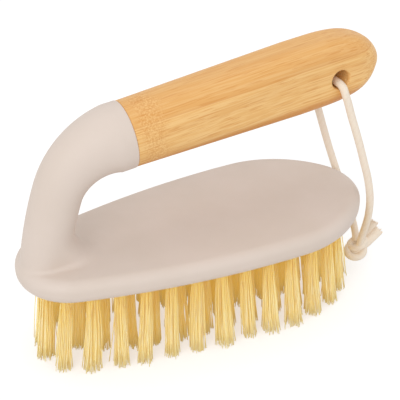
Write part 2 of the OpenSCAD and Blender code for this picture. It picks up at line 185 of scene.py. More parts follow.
class ScrubBrushColours(bpy.types.PropertyGroup):
    plastic: tint((218, 203, 191), "Matt taupe plastic of the block and arm")
    plastic_light: tint((221, 206, 195), "The paler part of the plastic's slight unevenness")
    plate: tint((204, 187, 175), "Plastic of the plate that holds the tufts")
    bamboo: tint((236, 184, 112), "The main colour of the bamboo")
    bamboo_light: tint((244, 200, 134), "The paler fibres")
    # Also paints the shade on the handle's rounded underside
    bamboo_dark_and_underside_shade: tint((212, 142, 66), "The darker fibres and dashes")
    bristle: tint((236, 220, 158), "The main colour of the bristles")
    bristle_pale: tint((246, 235, 186), "The palest bristles")
    # Painted shade: the deeper colour that the bristles take near the block
    bristle_root_shade: tint((232, 199, 108), "The bristles' colour near the block")
    bristle_glow: tint((244, 198, 110), "Light that has passed through other bristles")
    cotton: tint((250, 238, 222), "The cord's colour")
    # Darker fibres, and the painted shade in the grooves between the strands
    cotton_dark_and_groove_shade: tint((228, 205, 178), "The colour between the cord's strands")
    steel: tint((176, 178, 181), "The stud and the tuft anchors")


class ScrubBrushStage(bpy.types.PropertyGroup):
    azimuth: angle(-27, "Where the camera stands round the brush")
    elevation: angle(32.35, "How far above the horizon the camera stands")
    away: distance(400, "Distance from the camera to the point it looks at")
    target: FloatVectorProperty(
        description="The point that the camera looks at",
        default=(-0.27 * MM, 0, 54.73 * MM), size=3, subtype="XYZ", unit="LENGTH",
    )
    lens: share(87.2, "Focal length of the camera in millimetres")
    key: share(3.5, "Power of the key light in watts")
    fill: share(0.95, "Power of the fill light in watts")
    top: share(1.05, "Power of the light above in watts")
    surround: share(0.74, "Level of the light from all round")


class ScrubBrushSettings(bpy.types.PropertyGroup):
    """Everything that the panel shows, by piece"""

    stage: PointerProperty(type=ScrubBrushStage)
    cord: PointerProperty(type=ScrubBrushCord)
    block: PointerProperty(type=ScrubBrushBlock)
    arm: PointerProperty(type=ScrubBrushArm)
    handle: PointerProperty(type=ScrubBrushHandle)
    bristles: PointerProperty(type=ScrubBrushBristles)
    colours: PointerProperty(type=ScrubBrushColours)


# Mesh helpers


def add_mesh(name, points, faces, smooth=True):
    """A new mesh object in the scene, from points in metres and a list of faces."""
    mesh = bpy.data.meshes.new(name)
    mesh.from_pydata([tuple(p) for p in np.asarray(points, float)], [], [tuple(f) for f in faces])
    obj = bpy.data.objects.new(name, mesh)
    bpy.context.scene.collection.objects.link(obj)
    if smooth:
        mesh.shade_smooth()
    return obj


def outward(obj):
    """Turns all the faces of a closed mesh outwards and marks its crisp edges."""
    work = bmesh.new()
    work.from_mesh(obj.data)
    bmesh.ops.recalc_face_normals(work, faces=work.faces)
    work.to_mesh(obj.data)
    work.free()
    obj.data.shade_smooth()
    obj.data.set_sharp_from_angle(angle=SHARP_ANGLE)


def loft_faces(rings, count, capped=True):
    """Faces through rings of equal count, and a cap at each end."""
    faces = []
    for i in range(rings - 1):
        for k in range(count):
            a, b = i * count + k, i * count + (k + 1) % count
            faces.append((a, b, b + count, a + count))
    if capped:
        faces.append(tuple(range(count - 1, -1, -1)))
        faces.append(tuple((rings - 1) * count + k for k in range(count)))
    return faces


def dress(obj, material, body, slot, *replaced):
    """Gives a piece its material and the body it rides on, and hides the CAD nodes it stands for; the slot
    is not used.
    """
    obj.data.materials.clear()
    obj.data.materials.append(material)
    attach(obj, body)
    if replaced:
        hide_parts(*replaced)
    return obj


# Material helpers


class Shading:
    """A material's node tree, with short ways to add the nodes that the finishes here use."""

    def __init__(self, name):
        self.material = bpy.data.materials.new(name)
        self.material.use_nodes = True
        self.tree = self.material.node_tree
        self.shader = self.tree.nodes["Principled BSDF"]
        self.place = self.tree.nodes.new("ShaderNodeTexCoord").outputs["Object"]

    def add(self, kind, **inputs):
        node = self.tree.nodes.new(kind)
        for name, value in inputs.items():
            self.feed(node.inputs[name.replace("_", " ")], value)
        return node

    def feed(self, socket, value):
        if isinstance(value, bpy.types.NodeSocket):
            self.tree.links.new(value, socket)
        else:
            socket.default_value = value

    def turned(self, place, turn=(0, 0, 0), scale=(1, 1, 1), shift=(0, 0, 0)):
        node = self.add("ShaderNodeMapping", Vector=place, Rotation=turn, Scale=scale, Location=shift)
        return node.outputs["Vector"]

    def noise(self, place, scale, detail=2.0, roughness=0.5):
        node = self.add("ShaderNodeTexNoise", Vector=place, Scale=scale, Detail=detail, Roughness=roughness)
        return node.outputs["Fac"]

    def between(self, value, low, high, to_low=0.0, to_high=1.0):
        """The value's range low to high, stretched smoothly to another."""
        node = self.tree.nodes.new("ShaderNodeMapRange")
        node.interpolation_type = "SMOOTHSTEP"
        for name, number in zip(("From Min", "From Max", "To Min", "To Max"), (low, high, to_low, to_high)):
            node.inputs[name].default_value = number
        self.feed(node.inputs["Value"], value)
        return node.outputs["Result"]

    def maths(self, kind, first, second):
        node = self.tree.nodes.new("ShaderNodeMath")
        node.operation = kind
        self.feed(node.inputs[0], first)
        self.feed(node.inputs[1], second)
        return node.outputs[0]

    def mix(self, factor, first, second, blend="MIX"):
        node = self.tree.nodes.new("ShaderNodeMix")
        node.data_type = "RGBA"
        node.blend_type = blend
        self.feed(node.inputs["Factor"], factor)
        for name, value in (("A", first), ("B", second)):
            socket = next(s for s in node.inputs if s.name == name and s.type == "RGBA")
            self.feed(socket, value if isinstance(value, bpy.types.NodeSocket) else (*value, 1))
        return next(s for s in node.outputs if s.type == "RGBA")

    def axis(self, place, name):
        return self.add("ShaderNodeSeparateXYZ", Vector=place).outputs[name]

    def bump(self, height, depth, strength, under=None):
        node = self.add("ShaderNodeBump", Height=height, Distance=depth, Strength=strength)
        if under is not None:
            self.feed(node.inputs["Normal"], under)
        return node.outputs["Normal"]

    def finish(self, colour, roughness, normal=None, **sockets):
        self.feed(self.shader.inputs["Base Color"], colour)
        self.feed(self.shader.inputs["Roughness"], roughness)
        if normal is not None:
            self.feed(self.shader.inputs["Normal"], normal)
        for name, value in sockets.items():
            self.shader.inputs[name.replace("_", " ")].default_value = value
        return self.material


# Noise scales are repeats in a metre, ranges are of the noise's value, and a bump is its depth and strength
NOISE_MIDDLE = (0.3, 0.7)
PLASTIC_TONE, PLASTIC_SHEEN, PLASTIC_GRAIN = 38, 210, 2600
PLASTIC_BUMP = (0.05 * MM, 0.18)


def moulded_plastic(name, main, paler):
    """Matt moulded plastic: a faint unevenness of tone, and a fine spark-eroded grain."""
    s = Shading(name)
    tone = s.between(s.noise(s.place, PLASTIC_TONE, detail=3), 0.35, 0.65)
    grain = s.noise(s.place, PLASTIC_GRAIN, detail=2)
    colour = s.mix(tone, main, paler)
    roughness = s.between(s.noise(s.place, PLASTIC_SHEEN), *NOISE_MIDDLE, 0.5, 0.6)
    return s.finish(colour, roughness, s.bump(grain, *PLASTIC_BUMP), Specular_IOR_Level=0.42)


# The bamboo's noises along and across the handle, and its marks and painted underside shade measured from
# the handle's axis or start
FIBRE_SCALE, BROAD_SCALE, DASH_SCALE = (26, 1500, 1500), (9, 240, 240), (85, 1900, 1900)
DASH_SHIFT = (3, 7, 2)
SPECK_SCALE = 1400
WANDER_SCALE, WANDER = (14, 0, 0), 1.2 * MM
UPPER_GLUE, UPPER_GLUE_END = (7.6 * MM, 7.9 * MM), (8.4 * MM, 8.0 * MM)
# Heights between which painted shade darkens the handle's rounded underside
UNDERSIDE_SHADE_LEVELS = (-6.4 * MM, -9.5 * MM)
# Each edge of the node: where it fades, its noise's scale and how far it wanders
NODE_IN, NODE_OUT = ((4 * MM, 7 * MM), 160, 5 * MM), ((19 * MM, 12 * MM), 190, 7 * MM)
FIBRE_RANGE, BROAD_RANGE, DASH_RANGE = (0.42, 0.6), (0.4, 0.75), (0.58, 0.66)
BROAD_DARK, DASH_DARK, UPPER_DARK, UNDERSIDE_SHADE_DARK, LINE_DARK, NODE_SHARE = 0.16, 0.5, 0.3, 0.85, 0.35, 0.45
BAMBOO_BUMP = (0.06 * MM, 0.25)


def bamboo_wood(colours, handle, start):
    """Laminated bamboo: long fibres along the handle, short dark dashes, strips and one speckled node, with
    painted shade on its rounded lower side.
    """
    s = Shading("bamboo")
    from_start = s.add("ShaderNodeVectorMath", Vector=s.place).outputs["Vector"].node
    from_start.operation = "SUBTRACT"
    from_start.inputs[1].default_value = start
    along = s.turned(from_start.outputs["Vector"], turn=(0, handle.tilt, 0))
    fibre = s.noise(s.turned(along, scale=FIBRE_SCALE), 1.0, detail=3, roughness=0.6)
    broad = s.noise(s.turned(along, scale=BROAD_SCALE), 1.0, detail=2)
    dash = s.noise(s.turned(along, scale=DASH_SCALE, shift=DASH_SHIFT), 1.0, detail=1)
    speck = s.noise(along, SPECK_SCALE, detail=3, roughness=0.65)
    x, z = s.axis(along, "X"), s.axis(along, "Z")
    # A thin glue line, with a darker strip above it, and painted shade on the rounded lower side
    wander = s.maths("MULTIPLY", s.noise(s.turned(along, scale=WANDER_SCALE), 1.0), WANDER)
    level = s.maths("ADD", z, wander)
    upper = s.between(level, *UPPER_GLUE)
    underside_shade = s.between(level, *UNDERSIDE_SHADE_LEVELS)
    line = s.maths("MULTIPLY", upper, s.between(level, *UPPER_GLUE_END))
    # The node: a band just past the collar with short flecks instead of long fibres
    edges = []
    for fade, scale, reach in (NODE_IN, NODE_OUT):
        edges.append(s.between(s.maths("ADD", x, s.maths("MULTIPLY", s.noise(along, scale), reach)), *fade))
    node_zone = s.maths("MULTIPLY", *edges)
    tone = s.mix(s.between(fibre, *FIBRE_RANGE), colours.bamboo, colours.bamboo_light)
    marks_and_underside_shade = [s.between(broad, *BROAD_RANGE, 0, BROAD_DARK), s.between(dash, *DASH_RANGE, 0, DASH_DARK)]
    # The darker strip, the painted underside shade and the glue line
    for zone, strength in ((upper, UPPER_DARK), (underside_shade, UNDERSIDE_SHADE_DARK), (line, LINE_DARK)):
        marks_and_underside_shade.append(s.maths("MULTIPLY", zone, strength))
    for mark in marks_and_underside_shade:
        tone = s.mix(mark, tone, colours.bamboo_dark_and_underside_shade)
    flecks = s.mix(s.between(speck, *FIBRE_RANGE), colours.bamboo_dark_and_underside_shade, colours.bamboo_light)
    tone = s.mix(s.maths("MULTIPLY", node_zone, NODE_SHARE), tone, flecks)
    roughness = s.between(fibre, *NOISE_MIDDLE, 0.4, 0.52)
    return s.finish(tone, roughness, s.bump(fibre, *BAMBOO_BUMP), Specular_IOR_Level=0.4)


BRISTLE_SCALE, RIPPLE_SCALE = (1700, 1700, 22), (2500, 2500, 900)
BRISTLE_BUMP = (0.02 * MM, 0.2)
# The painted shade near the roots comes in between these shares of the underside's height, up to this much
ROOT_SHADE_SPAN, ROOT_SHADE_MOST = (0.35, 1.02), 0.85
BRISTLE_SCATTER = 0.6 * MM
# Strength of the painted glow, an emission that stands in for light passed between bristles
GLOW = 0.16


def bristle_fibre(colours, underside):
    """Straw-yellow fibre: each bristle has its own tone, painted shade deepens it towards the block, and a
    painted glow stands in for light passed between bristles.
    """
    s = Shading("bristle")
    each = s.noise(s.turned(s.place, scale=BRISTLE_SCALE), 1.0, detail=1)
    tone = s.mix(s.between(each, 0.35, 0.65), colours.bristle, colours.bristle_pale)
    # Painted shade that deepens the bristles towards the block
    depth = s.between(s.axis(s.place, "Z"), underside * ROOT_SHADE_SPAN[0], underside * ROOT_SHADE_SPAN[1], 0, ROOT_SHADE_MOST)
    tone = s.mix(depth, tone, colours.bristle_root_shade)
    ripple = s.noise(s.turned(s.place, scale=RIPPLE_SCALE), 1.0)
    return s.finish(
        tone, s.between(each, *NOISE_MIDDLE, 0.42, 0.6), s.bump(ripple, *BRISTLE_BUMP),
        Subsurface_Weight=1.0, Subsurface_Scale=BRISTLE_SCATTER, Subsurface_Radius=(1.0, 1.0, 1.0),
        # Painted glow: emission for the light that passes between bristles
        Emission_Color=(*colours.bristle_glow, 1), Emission_Strength=GLOW,
    )


COTTON_SCALE, FUZZ_SCALE = (260, 46, 1), 1900
COTTON_BUMP, FUZZ_BUMP = (0.10 * MM, 0.5), (0.05 * MM, 0.3)


def cotton_cord(colours, strands):
    """Twisted cotton: fine fibres run with the strands, and painted shade darkens the grooves between them.
    """
    s = Shading("cotton")
    along = s.add("ShaderNodeUVMap").outputs["UV"]
    fibres = s.noise(s.turned(along, scale=COTTON_SCALE), 1.0, detail=3, roughness=0.6)
    fuzz = s.noise(s.place, FUZZ_SCALE, detail=2)
    ply = s.maths("COSINE", s.maths("MULTIPLY", s.axis(along, "Y"), 2 * math.pi * strands), 0.0)
    # Painted shade in the grooves between the strands
    groove_shade = s.between(ply, -0.2, -1.0, 0, 0.1)
    tone = s.mix(s.between(fibres, 0.35, 0.7, 0, 0.35), colours.cotton, colours.cotton_dark_and_groove_shade)
    tone = s.mix(groove_shade, tone, colours.cotton_dark_and_groove_shade)
    normal = s.bump(fibres, *COTTON_BUMP, s.bump(fuzz, *FUZZ_BUMP))
    return s.finish(tone, s.between(fuzz, *NOISE_MIDDLE, 0.8, 0.95), normal, Specular_IOR_Level=0.2)


STEEL_SCALE = (80, 900, 900)
STEEL_SHADE = 0.7


def drawn_steel(colours):
    """Plain drawn steel wire."""
    s = Shading("steel")
    drawn = s.noise(s.turned(s.place, scale=STEEL_SCALE), 1.0)
    darker = [c * STEEL_SHADE for c in colours.steel]
    tone = s.mix(s.between(drawn, *NOISE_MIDDLE, 0, 0.3), colours.steel, darker)
    return s.finish(tone, s.between(drawn, *NOISE_MIDDLE, 0.25, 0.4), Metallic=1.0)


# Stage


def area_light(name, power, size, place, target):
    data = bpy.data.lights.new(name, "AREA")
    data.shape = "DISK"
    data.size = size
    data.energy = power
    light = bpy.data.objects.new(name, data)
    light.location = place
    light.rotation_euler = (Vector(target) - Vector(place)).to_track_quat("-Z", "Y").to_euler()
    bpy.context.scene.collection.objects.link(light)


def shader(tree, kind, *sources, **inputs):
    """The output of a new node, with its first sockets linked to sources and the named ones set."""
    node = tree.nodes.new("ShaderNode" + kind)
    for socket, source in zip(node.inputs, sources):
        tree.links.new(source, socket)
    for name, value in inputs.items():
        node.inputs[name].default_value = value
    return node.outputs[0]


def seen_white(tree, white, plain):
    """One shader for the camera, gloss and glass, and a plain one for the light that falls on things."""
    path = tree.nodes.new("ShaderNodeLightPath")
    seen = path.outputs["Is Camera Ray"]
    for other in ("Is Glossy Ray", "Is Transmission Ray"):
        seen = shader(tree, "Math", seen, path.outputs[other])
        seen.node.operation = "MAXIMUM"
    return shader(tree, "MixShader", seen, plain, white)


class SCRUBBRUSH_OT_stage(bpy.types.Operator):
    """Makes the camera, the lights, the white surround and a floor that looks white with a soft shadow"""

    bl_idname = "scrub_brush.stage"
    bl_label = "Stage"

    CLIP = (0.02, 30)
    # Each light's size and place, and the point that all of them face
    LIGHTS = {
        "key": (0.7, (-0.72, -0.62, 0.62)),
        "fill": (0.9, (0.85, -0.75, 0.45)),
        "top": (0.8, (0.1, 0.15, 1.1)),
    }
    LIT_POINT = (0, 0, 0.06)
    FLOOR_HALF = 6.0
    # The floor's paint for falling light, and for the camera a darker paint with a light of its own
    FLOOR_COLOUR = (0.78, 0.78, 0.78, 1)
    SEEN_COLOUR = (0.55, 0.55, 0.55, 1)
    FLOOR_LIFT = 0.57

    def execute(self, context):
        scene, stage = context.scene, context.scene.scrub_brush.stage
        self.make_camera(scene, stage)
        self.make_lights(stage)
        self.make_surround(scene, stage)
        self.make_floor()
        scene.view_settings.view_transform = "Standard"
        return {"FINISHED"}

    def make_camera(self, scene, stage):
        data = bpy.data.cameras.new("camera")
        data.lens = stage.lens
        data.clip_start, data.clip_end = self.CLIP
        camera = bpy.data.objects.new("camera", data)
        back = Vector((
            math.sin(stage.azimuth) * math.cos(stage.elevation),
            -math.cos(stage.azimuth) * math.cos(stage.elevation),
            math.sin(stage.elevation),
        ))
        camera.location = Vector(stage.target) + back * stage.away
        camera.rotation_euler = (-back).to_track_quat("-Z", "Y").to_euler()
        scene.collection.objects.link(camera)
        scene.camera = camera

    def make_lights(self, stage):
        for name, (size, place) in self.LIGHTS.items():
            area_light(name, getattr(stage, name), size, place, self.LIT_POINT)

    def make_surround(self, scene, stage):
        world = bpy.data.worlds.new("surround")
        world.use_nodes = True
        tree = world.node_tree
        tree.nodes.remove(tree.nodes["Background"])
        plain = shader(tree, "Background", Color=WHITE, Strength=stage.surround)
        white = shader(tree, "Background", Color=WHITE, Strength=1)
        tree.links.new(seen_white(tree, white, plain), tree.nodes["World Output"].inputs["Surface"])
        scene.world = world

    def make_floor(self):
        half = self.FLOOR_HALF
        corners = [(-half, -half, 0), (half, -half, 0), (half, half, 0), (-half, half, 0)]
        floor = add_mesh("floor", corners, [(0, 1, 2, 3)], smooth=False)
        material = bpy.data.materials.new("pale_floor")
        material.use_nodes = True
        tree = material.node_tree
        tree.nodes.remove(tree.nodes["Principled BSDF"])
        paint = shader(tree, "BsdfDiffuse", Color=self.FLOOR_COLOUR)
        seen_paint = shader(tree, "BsdfDiffuse", Color=self.SEEN_COLOUR)
        lifted = shader(tree, "AddShader", seen_paint, shader(tree, "Emission", Strength=self.FLOOR_LIFT))
        tree.links.new(seen_white(tree, lifted, paint), tree.nodes["Material Output"].inputs["Surface"])
        floor.data.materials.append(material)


# Cord

# The two legs' routes from the mouths of the hole down into the knot, in millimetres
FRONT_LEG = [
    (58.4, -8, 98.8), (58.4, -10, 98.7), (58.7, -11.8, 97.6), (59.3, -12.8, 95), (60.7, -13.2, 91),
    (62.7, -13.4, 85), (64.9, -14, 78.5), (67.3, -14.8, 71), (69.9, -15.4, 62.5), (72.9, -15.7, 53),
    (75.5, -15.2, 42.5), (77.3, -13.2, 32.5), (78.2, -10.8, 24.5), (78.3, -9, 18), (78.2, -8, 12),
]
BACK_LEG = [
    (58.4, 8, 98.8), (58.4, 10, 98.7), (58.7, 11.8, 97.6), (59.3, 12.8, 95), (60.5, 13.4, 91),
    (62.3, 13.9, 84.5), (64.7, 14.4, 77), (67.7, 15, 69), (70.9, 15.5, 60.5), (74.1, 15.3, 51.5),
    (76.9, 13.8, 42.5), (79.1, 10.4, 33.5), (79.9, 5, 25.5), (79.7, -1, 17), (79.1, -4, 12),
]
TAILS = [
    [(78.2, -6.2, 8.8), (80.2, -5.1, 10.1), (82.7, -4.3, 11.9), (85.9, -3.5, 15.1), (88.8, -3.1, 18.8)],
    [(77.6, -8.4, 8.6), (79.8, -7.8, 10.1), (82.6, -7.4, 11.5), (86, -6.8, 13.3), (89.7, -6.3, 15.6)],
]
KNOT = (77.9, -6.5, 9.6)
CORD_STRANDS = 3
CORD_SIDES = 24
CORD_STEP = 0.6 * MM
SPAN_POINTS = 24
FIRST_SIDE = (0.3, 0.2, 1.0)
UV_LENGTH = 10 * MM
HOLE_POINTS = 40


def smooth_route(points, step, closed=False):
    """Points a step apart on a smooth curve through the given ones."""
    p = np.array(points, float)
    n = len(p)
    if closed:
        before, after = np.roll(p, 1, axis=0), np.roll(p, -1, axis=0)
        slopes = (after - before) / 2
        spans = n
    else:
        slopes = np.gradient(p, axis=0)
        spans = n - 1
    fine = []
    for i in range(spans):
        a, b = p[i], p[(i + 1) % n]
        ta, tb = slopes[i], slopes[(i + 1) % n]
        for t in np.linspace(0, 1, SPAN_POINTS, endpoint=False):
            h = (2 * t**3 - 3 * t**2 + 1, t**3 - 2 * t**2 + t, -2 * t**3 + 3 * t**2, t**3 - t**2)
            fine.append(h[0] * a + h[1] * ta + h[2] * b + h[3] * tb)
    fine.append(p[0] if closed else p[-1])
    fine = np.array(fine)
    reached = np.concatenate([[0], np.cumsum(np.linalg.norm(np.diff(fine, axis=0), axis=1))])
    count = max(2, int(round(reached[-1] / step)) + 1)
    at = np.linspace(0, reached[-1], count)
    even = np.stack([np.interp(at, reached, fine[:, i]) for i in range(3)], axis=1)
    return even[:-1] if closed else even


def route_length(route):
    return float(np.linalg.norm(np.diff(route, axis=0), axis=1).sum())


def route_frames(route, closed=False):
    """Two directions across the route at each of its points, carried along without twist."""
    if closed:
        ways = np.roll(route, -1, axis=0) - np.roll(route, 1, axis=0)
    else:
        ways = np.gradient(route, axis=0)
    ways /= np.linalg.norm(ways, axis=1, keepdims=True)
    side = np.cross(ways[0], FIRST_SIDE)
    sides = []
    for way in ways:
        side = side - way * side.dot(way)
        side /= np.linalg.norm(side)
        sides.append(side)
    sides = np.array(sides)
    return sides, np.cross(ways, sides)


def cord_mesh(name, route, cord, closed=False, widen=None):
    """A twisted cord along a route, with a UV map that holds the length and the turn in its strands."""
    u, v = route_frames(route, closed)
    n = len(route)
    reached = np.arange(n) * route_length(route[:2])
    turns = np.arange(CORD_SIDES) / CORD_SIDES
    across = turns[None] - reached[:, None] / cord.lay
    if closed:
        whole = round(n * route_length(route[:2]) / cord.lay)
        across = turns[None] - np.arange(n)[:, None] / n * max(1, whole)
    radius = cord.diameter / 2 * (1 + cord.ply_depth * (np.cos(2 * math.pi * CORD_STRANDS * across) - 1))
    wide = np.ones(n) if widen is None else widen
    c, d = np.cos(2 * math.pi * turns), np.sin(2 * math.pi * turns)
    points = (
        route[:, None]
        + (radius * wide[:, None] * c[None])[:, :, None] * u[:, None]
        + (radius * wide[:, None] * d[None])[:, :, None] * v[:, None]
    ).reshape(-1, 3)
    faces = loft_faces(n, CORD_SIDES, capped=not closed)
    if closed:
        last = (n - 1) * CORD_SIDES
        faces += [
            (last + k, last + (k + 1) % CORD_SIDES, (k + 1) % CORD_SIDES, k) for k in range(CORD_SIDES)
        ]
    obj = add_mesh(name, points, faces)
    layer = obj.data.uv_layers.new(name="strands")
    flat_across = across.reshape(-1)
    rows = np.repeat(reached, CORD_SIDES)
    for polygon in obj.data.polygons:
        spot = [obj.data.loops[i].vertex_index for i in polygon.loop_indices]
        base = flat_across[spot[0]]
        for loop, vertex in zip(polygon.loop_indices, spot):
            turn = flat_across[vertex]
            turn -= round(turn - base)
            layer.data[loop].uv = (rows[vertex] / UV_LENGTH, turn)
    outward(obj)
    return obj


def joined(name, parts):
    """One object from several, under a new name."""
    for obj in bpy.context.view_layer.objects:
        obj.select_set(False)
    for part in parts:
        part.select_set(True)
    bpy.context.view_layer.objects.active = parts[0]
    bpy.ops.object.join()
    parts[0].name = name
    parts[0].data.name = name
    parts[0].select_set(False)
    return parts[0]


class SCRUBBRUSH_OT_cord(bpy.types.Operator):
    """Makes the cotton cord: two legs, the stretch through the hole, the knot and its two tails"""

    bl_idname = "scrub_brush.cord"
    bl_label = "Cord"

    # Each turn of the knot: its shift in millimetres, its size along X and Y as shares of the knot ring,
    # and how far it is tipped along Y and along X, in millimetres
    KNOT_TURNS = (
        ((-1.0, -0.6, -0.6), 1.0, 0.92, -1.1, 0.9),
        ((0.9, 1.0, 1.9), 0.86, 0.8, 0.4, 1.4),
        ((-0.4, 0.2, -0.9), 0.42, 0.42, 0.0, 0.6),
    )
    TURN_POINTS = 12
    TAIL_GROWTH = 0.34
    FRAY_SEED = 11
    FRAY_COUNT = 70
    FRAY_SIDES = 3
    FRAY_REACH = 0.66
    FRAY_SUNK = 0.5 * MM
    FRAY_LEAN, FRAY_SCATTER = 0.25, 0.12
    FRAY_LENGTH = (0.8, 1.5)
    FRAY_FOOT, FRAY_TIP = 0.16 * MM, 0.07 * MM

    def execute(self, context):
        cord, colours = context.scene.scrub_brush.cord, context.scene.scrub_brush.colours
        cotton = cotton_cord(colours, CORD_STRANDS)
        front_route = smooth_route(np.array(FRONT_LEG) * MM, CORD_STEP)
        back_route = smooth_route(np.array(BACK_LEG) * MM, CORD_STEP)
        front = dress(cord_mesh("front_cord", front_route, cord), cotton, LOOP, "cotton", "cord_front_leg")
        back = dress(cord_mesh("back_cord", back_route, cord), cotton, LOOP, "cotton", "cord_back_leg")
        reach = np.linspace(front_route[0], back_route[0], HOLE_POINTS)
        through = dress(cord_mesh("cord_in_hole", reach, cord), cotton, BRUSH, "cotton", "cord_in_eye")
        knot = dress(self.knot(cord), cotton, LOOP, "cotton", "cord_knot")
        tails = dress(self.tails(cord), cotton, LOOP, "cotton", "cord_tails")
        return {"FINISHED"}

    def knot(self, cord):
        """Two turns of cord round both legs, and a small one that fills the middle."""
        middle = np.array(KNOT) * MM
        turns = []
        for shift, wide, deep, tip_y, tip_x in self.KNOT_TURNS:
            ring = []
            for a in np.linspace(0, 2 * math.pi, self.TURN_POINTS, endpoint=False):
                x = cord.knot_ring * wide * math.cos(a)
                y = cord.knot_ring * deep * math.sin(a)
                z = MM * (tip_y * -math.sin(a) + tip_x * math.cos(a))
                ring.append(middle + np.array(shift) * MM + (x, y, z))
            route = smooth_route(ring, CORD_STEP, closed=True)
            turns.append(cord_mesh("knot_turn", route, cord, closed=True))
        return joined("knot", turns)

    def tails(self, cord):
        """Two tails side by side that thicken towards their frayed ends."""
        random = np.random.default_rng(self.FRAY_SEED)
        parts = []
        for points in TAILS:
            route = smooth_route(np.array(points) * MM, CORD_STEP)
            reached = np.linspace(0, 1, len(route))
            parts.append(cord_mesh("tail", route, cord, widen=1 + self.TAIL_GROWTH * reached))
            parts.append(self.fray(route, cord, random))
        return joined("cord_ends", parts)

    def fray(self, route, cord, random):
        """Short cut fibres at the end of a tail."""
        way = route[-1] - route[-2]
        way /= np.linalg.norm(way)
        side = np.cross(way, UP)
        side /= np.linalg.norm(side)
        over = np.cross(way, side)
        points, faces = [], []
        sides = range(self.FRAY_SIDES)
        for i in range(self.FRAY_COUNT):
            turn = random.uniform(0, 2 * math.pi)
            out = math.sqrt(random.uniform(0, 1)) * cord.diameter * self.FRAY_REACH
            off = math.cos(turn) * side + math.sin(turn) * over
            foot = route[-1] + out * off - way * self.FRAY_SUNK
            lean = self.FRAY_LEAN * off + random.normal(0, self.FRAY_SCATTER, 3)
            tip = foot + (way + lean) * random.uniform(*self.FRAY_LENGTH) * MM
            first = len(points)
            for spot, thick in ((foot, self.FRAY_FOOT), (tip, self.FRAY_TIP)):
                for k in sides:
                    a = turn + 2 * math.pi * k / self.FRAY_SIDES
                    points.append(spot + thick * (math.cos(a) * side + math.sin(a) * over))
            faces += [(first + a, first + b, first + c) for a, b, c in ((0, 2, 1), (3, 4, 5))]
            for k in sides:
                after = (k + 1) % self.FRAY_SIDES
                faces.append((first + k, first + after, first + 3 + after, first + 3 + k))
        obj = add_mesh("fray", points, faces)
        obj.data.uv_layers.new(name="strands")
        outward(obj)
        return obj


# Block and arm


class EggOutline:
    """The block's outline: a heel arc, a nose arc and two side arcs that meet at the widest place."""

    def __init__(self, block, heel_x, count):
        half = block.width / 2
        nose_x = heel_x + block.length
        heel_r, nose_r = half - block.heel_fall, half - block.nose_fall
        heel_c, nose_c = heel_x + heel_r, nose_x - nose_r
        wide = nose_c - block.wide_back
        back_r = self.side_radius(wide - heel_c, heel_r, half)
        front_r = self.side_radius(wide - nose_c, nose_r, half)
        heel_turn = math.atan2(back_r - half, heel_c - wide)
        nose_turn = math.atan2(front_r - half, nose_c - wide)
        arcs = [
            ((nose_c, 0), nose_r, 0, nose_turn),
            ((wide, half - front_r), front_r, nose_turn, math.pi / 2),
            ((wide, half - back_r), back_r, math.pi / 2, heel_turn),
            ((heel_c, 0), heel_r, heel_turn, math.pi),
        ]
        lengths = [r * (last - first) for _, r, first, last in arcs]
        ends = np.concatenate([[0], np.cumsum(lengths)])
        middles, radii, turns = [], [], []
        for k in range(count):
            s = 2 * ends[-1] * k / count
            flip = s > ends[-1]
            s = 2 * ends[-1] - s if flip else s
            i = min(int(np.searchsorted(ends, s, side="right")) - 1, 3)
            middle, r, first, last = arcs[i]
            turn = first + (s - ends[i]) / r
            middles.append((middle[0], -middle[1] if flip else middle[1]))
            radii.append(r)
            turns.append(-turn if flip else turn)
        self.middles, self.radii = np.array(middles), np.array(radii)
        self.ways = np.stack([np.cos(turns), np.sin(turns)], axis=1)

    @staticmethod
    def side_radius(along, end_r, half):
        return (along**2 / (half - end_r) + end_r + half) / 2

    def inset(self, depth):
        """The outline drawn in by a depth, which is one number or one for each point."""
        depth = np.broadcast_to(depth, self.radii.shape)
        return self.middles + self.ways * (self.radii - depth)[:, None]


